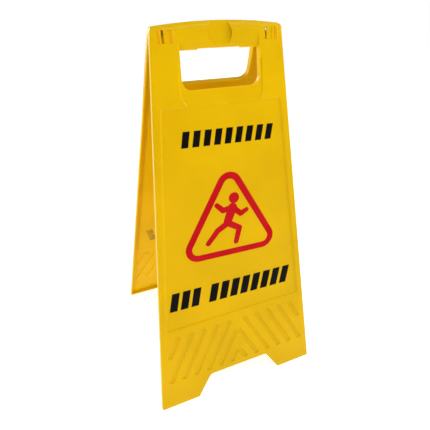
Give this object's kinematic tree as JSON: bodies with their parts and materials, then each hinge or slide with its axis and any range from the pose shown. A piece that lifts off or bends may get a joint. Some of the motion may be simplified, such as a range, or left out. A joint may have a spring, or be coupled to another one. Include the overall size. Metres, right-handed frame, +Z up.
{
  "type": "floor sign",
  "caption": "Folding A-frame floor sign: two alike moulded leaves clip together on their own hinge pins under a round handle, with a hand hole, grip grooves and plain printed marks.",
  "frame": {"origin": "on the floor, midway between the four feet, with the sign standing open", "axes": "+Z up, -Y towards the front leaf's printed face, X along the hinge pins"},
  "size_m": [0.3084, 0.3016, 0.5984],
  "materials": {
    "leaf_plastic": "translucent yellow polypropylene, moulded, soft satin gloss",
    "red_ink": "screen-printed red ink",
    "black_ink": "screen-printed black ink"
  },
  "bodies": {
    "front": {"front_leaf": "leaf_plastic", "front_triangle": "red_ink", "front_figure": "red_ink", "front_upper_dashes": "black_ink", "front_lower_short_dashes": "black_ink", "front_lower_long_dashes": "black_ink"},
    "rear": {"rear_leaf": "leaf_plastic", "rear_triangle": "red_ink", "rear_figure": "red_ink", "rear_upper_dashes": "black_ink", "rear_lower_short_dashes": "black_ink", "rear_lower_long_dashes": "black_ink"}
  },
  "joints": [
    {"name": "leaf_fold", "type": "hinge", "parent": "front", "child": "rear", "pos_m": [0, 0, 0.58083], "axis": [1, 0, 0], "range_deg": [-27.2, 0]}
  ]
}
